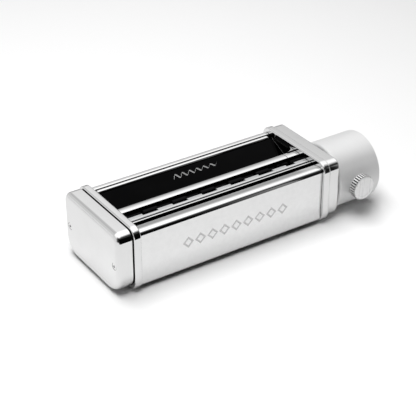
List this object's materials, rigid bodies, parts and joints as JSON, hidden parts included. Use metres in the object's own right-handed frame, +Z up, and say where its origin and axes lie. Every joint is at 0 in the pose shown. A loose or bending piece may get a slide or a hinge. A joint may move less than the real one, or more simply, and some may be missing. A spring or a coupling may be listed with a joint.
{
  "type": "pasta cutter attachment",
  "caption": "Chromed box-shaped pasta ribbon cutter for a stand mixer, with two meshing cutter rollers, end caps, a round collar and a knurled thumbscrew.",
  "frame": {"origin": "under the middle of the whole machine, at the height of the end plates' feet", "axes": "+X along the rollers from the closed cap towards the collar, -Y towards the plain front cover and the thumbscrew, +Z up"},
  "size_m": [0.2222, 0.084, 0.0508],
  "materials": {
    "chrome": "bright chromed steel with light smudges",
    "dark_polish": "mirror-polished, reads almost black",
    "satin_aluminium": "satin, fine turning marks",
    "steel": "ground stainless steel",
    "bronze": "oiled sintered bronze",
    "sintered": "dull sintered steel with a film of grease"
  },
  "bodies": {
    "housing": {"left_end_plate": "chrome", "right_end_plate": "chrome", "front_cover": "chrome", "rear_cover": "chrome", "middle_bar": "chrome", "guide_plate": "dark_polish", "comb_bar": "steel", "front_top_comb": "steel", "front_low_comb": "steel", "rear_low_comb": "steel", "front_left_bush": "bronze", "front_right_bush": "bronze", "rear_left_bush": "bronze", "rear_right_bush": "bronze", "left_cap": "chrome", "right_cap": "chrome", "collar": "satin_aluminium", "cap_screw_front": "steel", "cap_screw_rear": "steel", "collar_screw_1": "steel", "collar_screw_2": "steel", "collar_screw_3": "steel", "tie_rod_front_low": "steel", "tie_screw_left_front_low": "steel", "tie_screw_right_front_low": "steel", "tie_rod_front_high": "steel", "tie_screw_left_front_high": "steel", "tie_screw_right_front_high": "steel", "tie_rod_rear_low": "steel", "tie_screw_left_rear_low": "steel", "tie_screw_right_rear_low": "steel", "tie_rod_rear_high": "steel", "tie_screw_left_rear_high": "steel", "tie_screw_right_rear_high": "steel"},
    "front_roller": {"front_cutter": "steel", "front_shaft": "steel", "front_gear": "sintered", "front_gear_clip": "steel"},
    "rear_roller": {"rear_cutter": "steel", "rear_shaft": "steel", "rear_gear": "sintered", "rear_gear_clip": "steel"},
    "clamp_travel_body": {"clamp_pad": "steel"},
    "clamp_turn_body": {"clamp_knob": "satin_aluminium", "clamp_screw": "steel"}
  },
  "joints": [
    {"name": "front_roller_spin", "type": "hinge", "parent": "housing", "child": "front_roller", "pos_m": [-0.01705, -0.0091, 0.0255], "axis": [1, 0, 0], "continuous": true},
    {"name": "rear_roller_spin", "type": "hinge", "parent": "housing", "child": "rear_roller", "pos_m": [-0.01705, 0.0156, 0.0229], "axis": [1, 0, 0], "continuous": true},
    {"name": "clamp_travel", "type": "slide", "parent": "housing", "child": "clamp_travel_body", "axis": [0, -1, 0], "range_m": [-0.0008, 0.004]},
    {"name": "clamp_turn", "type": "hinge", "parent": "clamp_travel_body", "child": "clamp_turn_body", "pos_m": [0.09025, -0.036, 0.0255], "axis": [0, -1, 0], "range_deg": [-288, 1440]}
  ],
  "couplings": [
    {"joint": "rear_roller_spin", "follows": "front_roller_spin", "ratio": -1},
    {"joint": "clamp_turn", "follows": "clamp_travel", "rad_per_m": 6283.2}
  ]
}
